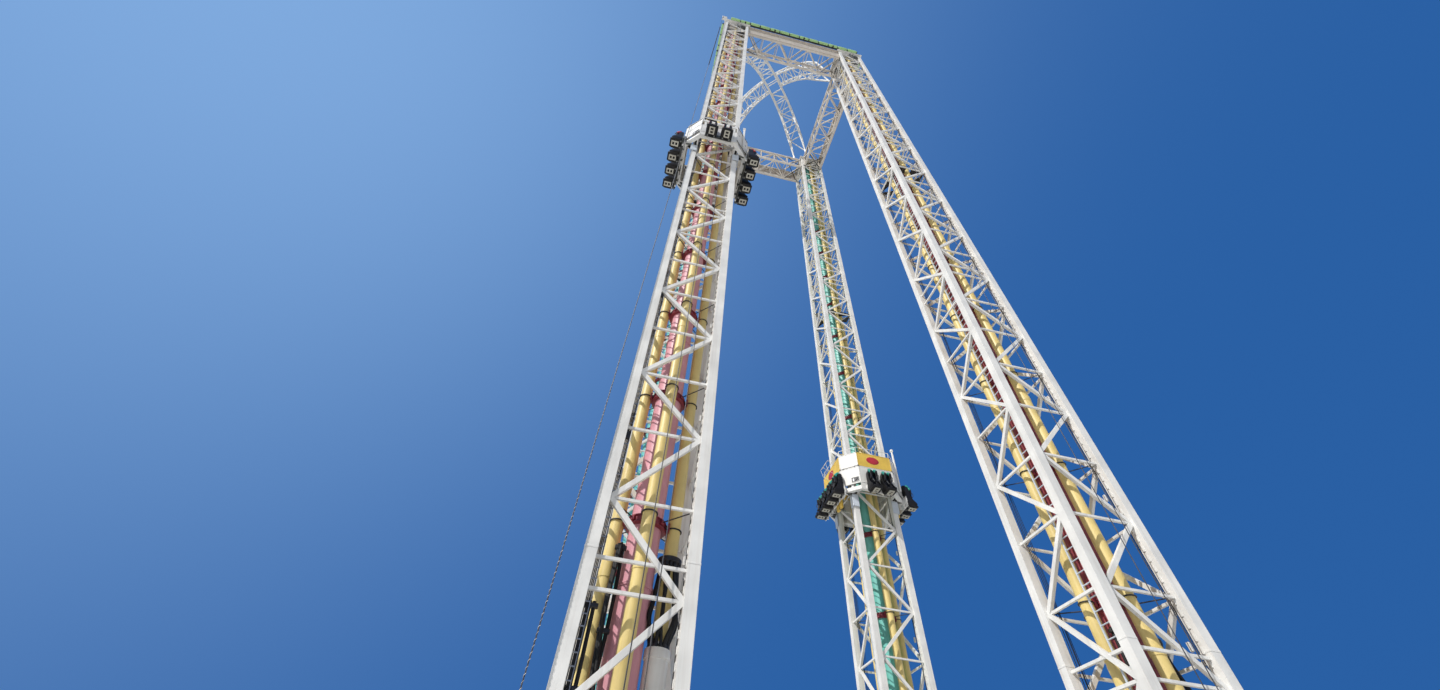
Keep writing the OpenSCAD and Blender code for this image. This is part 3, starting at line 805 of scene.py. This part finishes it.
# Rows of seats: degrees, distance of the panels they stand before, seats
ROWS = ((180, CAR_FRONT, 2), (0, CAR_FRONT, 2), (90, CAR_SIDE, 4), (270, CAR_SIDE, 4))
CLAMP_STEP = 0.0385
GUARD = ((0.004, -0.010), (-0.036, 0.012), (-0.052, -0.010), (-0.040, -0.052), (0.004, -0.075))
# Levels of a seat's shell: height, half width, depth, front of its back
SHELL_LEVELS = ((0.010, 0.026, 0.050, 0.012), (0.016, 0.029, 0.054, 0.012), (0.030, 0.0295, 0.050, 0.011),
                (0.045, 0.028, 0.036, 0.010), (0.065, 0.0265, 0.026, 0.008), (0.090, 0.027, 0.024, 0.007),
                (0.108, 0.0255, 0.023, 0.007), (0.120, 0.021, 0.020, 0.0065), (0.128, 0.016, 0.017, 0.006),
                (0.131, 0.011, 0.012, 0.0055))
# A seat's pan: distance out, underside, top
SEAT_PAN = ((0.008, 0.0045, 0.015), (0.030, 0.004, 0.013), (0.048, 0.004, 0.013), (0.058, 0.0055, 0.014),
            (0.0615, 0.009, 0.012))
HARNESS = ((0.012, 0.006, 0.110), (0.0125, 0.008, 0.1235), (0.0135, 0.016, 0.1290), (0.0145, 0.026, 0.1240),
           (0.0150, 0.033, 0.108), (0.0140, 0.037, 0.085), (0.0115, 0.041, 0.062), (0.0085, 0.046, 0.046))
GRIP = ((0.0145, 0.036, 0.090), (0.0195, 0.043, 0.088), (0.0200, 0.046, 0.078), (0.0190, 0.045, 0.068),
        (0.0125, 0.040, 0.064))


def side(i):
    """Matrix of a side of the carriage's plan: X along it, Y inward, Z up; and the side's length."""
    (ax, ay), (bx, by) = PLAN[i], PLAN[(i + 1) % 8]
    length = math.hypot(bx - ax, by - ay)
    return at(ax, ay, 0, math.degrees(math.atan2(by - ay, bx - ax))), length


def panel(piece, length, low, high, mat):
    """A sheet panel with a raised frame round it and rivets along the frame."""
    near, far, edge = 0.0006, length - 0.0006, 0.0050
    piece.add(box((near, 0.0008, low), (far, PANEL_T, high), 0.0008), mat)
    for x0, x1, z0, z1 in ((near, far, low, low + edge), (near, far, high - edge, high),
                           (near, near + edge, low, high), (far - edge, far, low, high)):
        piece.add(box((x0, 0, z0), (x1, 0.002, z1), 0.0006), mat)
    across = max(2, round(length / 0.022))
    for i in range(across + 1):
        x = near + edge / 2 + (far - near - edge) * i / across
        for z in (low + edge / 2, high - edge / 2):
            piece.add(lathe([(0.0010, 0), (0.0007, -0.0005)], (x, 0, z), 6, "y"), STEEL)


def hatch(piece, length):
    """A small framed opening low on the right of the front left corner."""
    x0, x1, z0, z1 = length * 0.55, length * 0.93, SKIRT_Z + 0.010, SKIRT_Z + 0.035
    left, right, under, over = x0 - 0.002, x1 + 0.002, z0 - 0.002, z1 + 0.002
    # Painted shade: a flat black plate stands for the shaded inside of the opening.
    piece.add(box((x0, -0.0006, z0), (x1, 0.001, z1)), BLACK)
    for a, b, low, high in ((left, right, under, z0), (left, right, z1, over), (left, x0, z0, z1),
                            (x1, right, z0, z1)):
        piece.add(box((a, -0.0015, low), (b, 0.001, high), 0.0004), WHITE)
    piece.add(box((x0 + 0.006, -0.0012, z0 + 0.004), (x0 + 0.013, 0, z1 - 0.006), 0.0005), STEEL)
    lead = [(x0 + 0.018, -0.001, z0 + 0.003), (x1 - 0.003, -0.001, z1 - 0.004)]
    piece.add(tube(lead, 0.0012, 6), RUBBER)


def oval(piece, length):
    """A plain red oval plate on an upper panel."""
    mid, z = length / 2 - 0.008, (SEAM_Z + CAR_TOP) / 2 + 0.003
    rings = []
    for y, grow in ((0.0009, 1), (0.0001, 1), (-0.0004, 0.97)):
        rings.append([(mid + 0.036 * grow * math.cos(2 * math.pi * j / 40), y,
                       z + 0.022 * grow * math.sin(2 * math.pi * j / 40)) for j in range(40)])
    piece.add(loft(rings), PATCH)


def car_panels(t):
    """Skirt and upper panels in place of the plain ones; the front left carriage has none above in front."""
    piece = Piece("panels_" + t)
    for i in range(8):
        piece.place, length = side(i)
        if i in CORNER_SIDES:
            panel(piece, length, SKIRT_Z, SEAM_Z - 0.0015, PANEL)
            panel(piece, length, SEAM_Z + 0.0015, CAR_TOP, PANEL)
            seam = box((0.002, 0.002, SEAM_Z - 0.004), (length - 0.002, PANEL_T, SEAM_Z + 0.004))
            piece.add(seam, BLACK)
            for x in (length * 0.2, length * 0.8):
                latch = post(x, 0.0002, SEAM_Z - 0.003, SEAM_Z + 0.003, 0.010, 0.0016, 0.0006)
                piece.add(latch, BLACK)
            # On the front left carriage, black bands run along the corner panels' bottom and top edges; the
            # top one is painted shade, a black strip for the shadowed underside of the top beam.
            for z in (SKIRT_Z, CAR_TOP - 0.005) if t == "fl" else ():
                band = box((0.001, -0.0010, z), (length - 0.001, 0.0022, z + 0.005), 0.0006)
                piece.add(band, BLACK)
        else:
            panel(piece, length, SKIRT_Z, SEAM_Z - 0.0005, PANEL)
            if t != "fl" or i != FRONT_SIDE:
                panel(piece, length, SEAM_Z + 0.0005, CAR_TOP, YELLOW)
                oval(piece, length)
        if i == HATCH_SIDE:
            hatch(piece, length)
    return piece


def car_trim(t):
    """Guard rail over the panels, posts, aprons under the end rows, guide plates, feet of the side rows."""
    piece = Piece("trim_" + t)
    mat = GREY if t == "fl" else WHITE
    rail_z = CAR_TOP + 0.036
    inset = 0.006
    loop = []
    for i in range(8):
        place, length = side(i)
        loop.append(tuple(place @ Vector((inset, inset, rail_z))))
        for x in (0.03, 0.97) if i in CORNER_SIDES else (0.5,):
            foot = place @ Vector((length * x, inset, CAR_TOP - 0.004))
            piece.add(tube([foot, (foot.x, foot.y, rail_z)], 0.0016, 6), WHITE)
    piece.add(tube(loop, 0.0018, 6, closed=True), WHITE)
    guard = [(out - CAR_SIDE, CAR_TOP + up) for out, up in GUARD]
    for y in (-0.052, 0.023):
        piece.add(tube([(x, y, z) for x, z in guard], 0.0012, 6), WHITE)
    for x, z in guard[1:4]:
        piece.add(tube([(x, -0.052, z), (x, 0.023, z)], 0.0010, 6), WHITE)
    x, y = (CAR_SIDE + SHORT) / 2 + 0.0065, -(FLAT + CAR_FRONT) / 2 - 0.0045
    piece.add(post(x, y, SKIRT_Z + 0.01, CAR_TOP + 0.082, 0.009, 0.009, 0.0015), WHITE)
    piece.add(post(x - 0.00025, y - 0.00025, CAR_TOP + 0.070, CAR_TOP + 0.086, 0.0145, 0.0135, 0.002), WHITE)
    for sy in (-1, 1):
        y = sy * (CAR_FRONT - PANEL_T / 2)
        top = [(SHORT - 2 * SHORT * i / 24, 0.060) for i in range(25)]
        low = [(x, 0.020 + 0.030 * abs(math.cos(math.pi * x / (2 * SEAT_PITCH)))) for x, z in reversed(top)]
        piece.add(loft([[(x, y + d, z) for x, z in top + low] for d in (-0.0015, 0.0015)]), WHITE)
        piece.add(beam((-SHORT, y, 0.062), (SHORT, y, 0.062), 0.007, 0.005, 0.001), WHITE)
    near, far, foot_y = LEG_C - LEG / 2, TOWER / 2 + 0.0077, FLAT + 0.002
    middle, wide, thick = (near + far) / 2, far - near, 0.0029
    for sx, sy in CORNERS:
        piece.add(post(sx * (CAR_SIDE - 0.004), sy * foot_y, 0, SKIRT_Z + 0.01, 0.008, 0.008, 0.001), WHITE)
        x, y = sx * (TOWER / 2 + 0.0062), sy * (TOWER / 2 + 0.0062)
        piece.add(post(x - sx * 0.00075, sy * middle, -0.042, 0.024, thick, wide, 0.0008), COOL_WHITE)
        piece.add(post(sx * middle, y - sy * 0.00075, -0.042, 0.024, wide, thick, 0.0008), COOL_WHITE)
        arm = beam((x, y, 0.02), (sx * (CAR_SIDE - 0.015), sy * foot_y, 0.032), 0.008, 0.010, 0.001)
        piece.add(arm, GREY)
    for sx in (-1, 1):
        x = sx * (CAR_SIDE - 0.014)
        if t != "fl":
            piece.add(post(x, -0.028, -0.020, 0.026, 0.014, 0.064, 0.002), YELLOW)
            piece.add(post(x, -0.033, -0.021, 0.027, 0.015, 0.006, 0.001), BLACK)
        lead = ((0.004, 0.026), (0.016, -0.002), (0.036, -0.006), (0.05, 0.004), (0.06, 0.028))
        piece.add(tube(curve([(x, y, z) for y, z in lead]), 0.0016, 6), RUBBER)
        plate_x = sx * (CAR_SIDE + 0.001)
        piece.add(post(plate_x, 0, 0.002, 0.058, 0.0024, 2 * (FLAT + 0.030), 0.0006), mat)
        for y in (-0.09, -0.03, 0.03, 0.09):
            piece.add(post(plate_x - sx * 0.009, y, 0.006, 0.056, 0.016, 0.0024), mat)
    return piece


def car_wheels():
    """Tyred guide wheels on their axles, where the plain wheels are."""
    piece = Piece("wheels")
    far = TOWER / 2 + 0.0004 + WHEEL_R
    w, rim = WHEEL_W / 2, WHEEL_R * 0.62
    tyre = mirrored([(rim, w), (WHEEL_R - 0.0016, w), (WHEEL_R - 0.0002, w - 0.0012), (WHEEL_R, 0)])
    hub = mirrored([(0.0022, w + 0.0020), (0.0036, w + 0.0012), (0.0036, w), (rim, w - 0.0008)])
    for z in WHEEL_LEVELS:
        for sx, sy in CORNERS:
            for axis, p in (("y", (sx * far, sy * LEG_C, z)), ("x", (sx * LEG_C, sy * far, z))):
                piece.add(lathe(tyre, p, 28, axis), RUBBER)
                piece.add(lathe(hub, p, 16, axis), STEEL)
    return piece


def shell_ring(z, half, depth, back):
    """One level of a seat's back shell: a U that opens outward."""
    wall = 0.0045
    return [(-half, 0.001, z), (half, 0.001, z), (half + 0.001, depth * 0.6, z), (half, depth, z),
            (half - wall, depth, z), (half - wall - 0.001, back + 0.002, z), (0, back, z),
            (-half + wall + 0.001, back + 0.002, z), (-half + wall, depth, z), (-half, depth, z),
            (-half - 0.001, depth * 0.6, z)]


def seat():
    """One seat's hard parts, X along the row, Y outward from the rail, and the harness."""
    piece = Piece("seat")
    piece.add(loft([shell_ring(*row) for row in SHELL_LEVELS]), MOULDED)
    rings = []
    for y, low, high in SEAT_PAN:
        w = 0.0275 if y < 0.05 else 0.0255 - (y - 0.05) * 0.25
        rings.append([(-w, y, low + 0.002), (-w + 0.003, y, low), (w - 0.003, y, low), (w, y, low + 0.002),
                      (w, y, high), (0, y, high + 0.0015), (-w, y, high)])
    piece.add(loft(rings), MOULDED)
    for x in (-0.0105, 0.0105):
        piece.add(post(x, 0.0340, 0.0, 0.0055, 0.007, 0.038, 0.0010), SHELL)
    for y in (0.0180, 0.0340, 0.0500):
        piece.add(post(0, y, 0.0004, 0.0052, 0.0152, 0.0056), SHELL)
    for x in (-0.017, 0.017):
        piece.add(post(x, 0.004, 0.004, 0.030, 0.008, 0.016, 0.001), GREY)
        bolt(piece, (x, 0.0065, 0.0), 0.0016, 0.0012, "z", -1)
    for s in (-1, 1):
        piece.add(tube(curve([(s * x, y, z) for x, y, z in HARNESS], 4), 0.0030, 8), BLACK)
        piece.add(tube(curve([(s * x, y, z) for x, y, z in GRIP], 3), 0.0016, 6), BLACK)
        piece.add(beam((s * 0.026, 0.030, 0.030), (s * 0.026, 0.056, 0.022), 0.005, 0.007, 0.0015), MOULDED)
    piece.add(box((-0.0115, 0.041, 0.038), (0.0115, 0.052, 0.048), 0.003), MOULDED)
    piece.add(beam((0, 0.049, 0.040), (0, 0.0525, 0.014), 0.0065, 0.003, 0.0008), RUBBER)
    piece.add(box((-0.0045, 0.050, 0.010), (0.0045, 0.0555, 0.020), 0.0012), STEEL)
    return piece


def seat_pads(color):
    """One seat's padding: back, cushion with its raised front, head pad and the harness pads."""
    piece = Piece("seat_pads")
    lean = Matrix.Rotation(math.radians(-3), 4, "X")
    over = Matrix.Rotation(math.radians(58), 4, "X")
    piece.add(pad((0, 0.0135, 0.064), (0.036, 0.011, 0.068), lean), MOULDED)
    piece.add(pad((0, 0.034, 0.0185), (0.046, 0.046, 0.009)), MOULDED)
    piece.add(pad((0, 0.056, 0.021), (0.014, 0.008, 0.012)), MOULDED)
    piece.add(pad((0, 0.0125, 0.1155), (0.026, 0.012, 0.020)), MOULDED)
    for s in (-1, 1):
        chest = Matrix.Rotation(math.radians(s * -4), 4, "Y") @ Matrix.Rotation(math.radians(-11), 4, "X")
        piece.add(pad((s * 0.0150, 0.0355, 0.089), (0.0125, 0.0125, 0.050), chest), MOULDED)
        piece.add(pad((s * 0.0145, 0.0225, 0.1235), (0.0140, 0.0130, 0.021), over), color)
        piece.add(pad((s * 0.0155, 0.0330, 0.1110), (0.0135, 0.0130, 0.016), chest), color)
    return piece


def rows():
    """Where each seat stands on a carriage, as matrices."""
    out = []
    for turn, reach, seats in ROWS:
        for i in range(seats):
            along = (i - (seats - 1) / 2) * SEAT_PITCH
            out.append(at(turn=turn) @ at(along, reach - PANEL_T + RAIL_T))
    return out


def car_rails(t):
    """The rails that carry the rows, with their clamps."""
    piece = Piece("rails_" + t)
    mat = GREY if t == "fl" else WHITE
    for turn, reach, seats in ROWS:
        y = reach - PANEL_T
        piece.place = at(turn=turn)
        half = (seats * SEAT_PITCH - SEAT_PITCH + SEAT_W) / 2
        piece.add(box((-half, y, 0.026), (half, y + RAIL_T, 0.046), 0.0015), mat)
        piece.add(box((-half, y - 0.001, 0.018), (half, y + 0.003, 0.027), 0.001), mat)
        for k in range(int(half * 2 / CLAMP_STEP)):
            x = -half + 0.012 + k * CLAMP_STEP
            bolt(piece, (x, y + RAIL_T, 0.036), 0.0018, 0.0012, "y", 1)
    return piece


def make_carriages():
    """Sets each carriage's seats, pads, panels, trim and wheels on its body, in place of the plain nodes."""
    wheels = car_wheels()
    hard = seat()
    places = rows()
    for t, body in BODIES.items():
        origin = at(TOWERS[t].x, TOWERS[t].y, SEATS_AT[t])
        seats = Piece("seats_" + t)
        pads = Piece("seat_pads_" + t)
        soft = seat_pads(PADS[t])
        for place in places:
            seats.merge(hard, origin @ place)
            pads.merge(soft, origin @ place)
        seats.merge(car_rails(t), origin)
        seats.done(body, ["car_%s_seats" % t])
        pads.done(body)
        for name, made, slot, old in (("panels_", car_panels(t), "panel_paint", ["car_%s_panels" % t]),
                                      ("trim_", car_trim(t), "white_paint", []),
                                      ("wheels_", wheels, "wheel_tyre", ["car_%s_wheels" % t])):
            piece = Piece(name + t)
            piece.merge(made, origin)
            piece.done(body, old)


# Stage
SKY = (0.023, 0.116, 0.37)
BRIGHT_SKY = (0.22, 0.41, 0.74)
BRIGHT_WAY = (-0.65, 0.11, 0.75)
DAYLIGHT = (0.82, 0.88, 0.97)
SUN_FROM = (-0.64, -0.38, 0.67)


def make_world():
    """A sky that brightens one way, for the camera and glossy surfaces, and a plain fill for the rest."""
    world = bpy.data.worlds.new("world")
    bpy.context.scene.world = world
    world.use_nodes = True
    nodes = world.node_tree.nodes
    link = world.node_tree.links.new
    fill = nodes["Background"]
    fill.inputs["Color"].default_value = (*DAYLIGHT, 1)
    fill.inputs["Strength"].default_value = 0.44
    near = nodes.new("ShaderNodeVectorMath")
    near.operation = "DOT_PRODUCT"
    near.inputs[1].default_value = BRIGHT_WAY
    link(nodes.new("ShaderNodeTexCoord").outputs["Generated"], near.inputs[0])
    glow = add_node(nodes, "MapRange", From_Min=-0.2)
    link(near.outputs["Value"], glow.inputs["Value"])
    fade = nodes.new("ShaderNodeMath")
    fade.operation = "POWER"
    fade.inputs[1].default_value = 3.0
    link(glow.outputs["Result"], fade.inputs[0])
    sky = blend(nodes, link, fade.outputs["Value"], BRIGHT_SKY)
    sky.inputs["A"].default_value = (*SKY, 1)
    seen = add_node(nodes, "Background", Strength=1.0)
    link(sky.outputs["Result"], seen.inputs["Color"])
    path = nodes.new("ShaderNodeLightPath")
    clear = path.outputs["Is Camera Ray"]
    for ray in ("Is Glossy Ray", "Is Transmission Ray"):
        either = nodes.new("ShaderNodeMath")
        either.operation = "MAXIMUM"
        link(clear, either.inputs[0])
        link(path.outputs[ray], either.inputs[1])
        clear = either.outputs["Value"]
    mixer = nodes.new("ShaderNodeMixShader")
    link(clear, mixer.inputs["Fac"])
    link(fill.outputs["Background"], mixer.inputs[1])
    link(seen.outputs["Background"], mixer.inputs[2])
    link(mixer.outputs["Shader"], nodes["World Output"].inputs["Surface"])


def make_floor():
    """A wide round floor for the shadow, just under the feet."""
    reach, corners = 400, 96
    mesh = bpy.data.meshes.new("floor")
    turns = [2 * math.pi * i / corners for i in range(corners)]
    mesh.from_pydata([(reach * math.cos(a), reach * math.sin(a), 0) for a in turns], [], [range(corners)])
    mesh.materials.append(paint("floor", (0.66, 0.66, 0.65), 0.97, 1.02, rough=0.7, grime=0.02, bump=0.02,
                                scale=0.8, runs=False))
    floor = new_object("floor", mesh)
    floor.location.z = -0.001


def make_sun():
    data = bpy.data.lights.new("sun", "SUN")
    data.energy = 3.3
    data.angle = math.radians(0.8)
    data.color = (1.0, 0.97, 0.92)
    sun = new_object("sun", data)
    sun.rotation_euler = Vector(SUN_FROM).to_track_quat("Z", "Y").to_euler()


dress_frame()
make_brackets()
make_core_joints()
make_splices()
make_ladders()
make_leg_lights()
make_hydraulics()
make_diaphragms()
make_heads()
make_lights()
make_truss_trim()
make_corner_sleeve()
make_carriages()
make_world()
make_floor()
make_sun()
bpy.context.scene.view_settings.view_transform = "Standard"
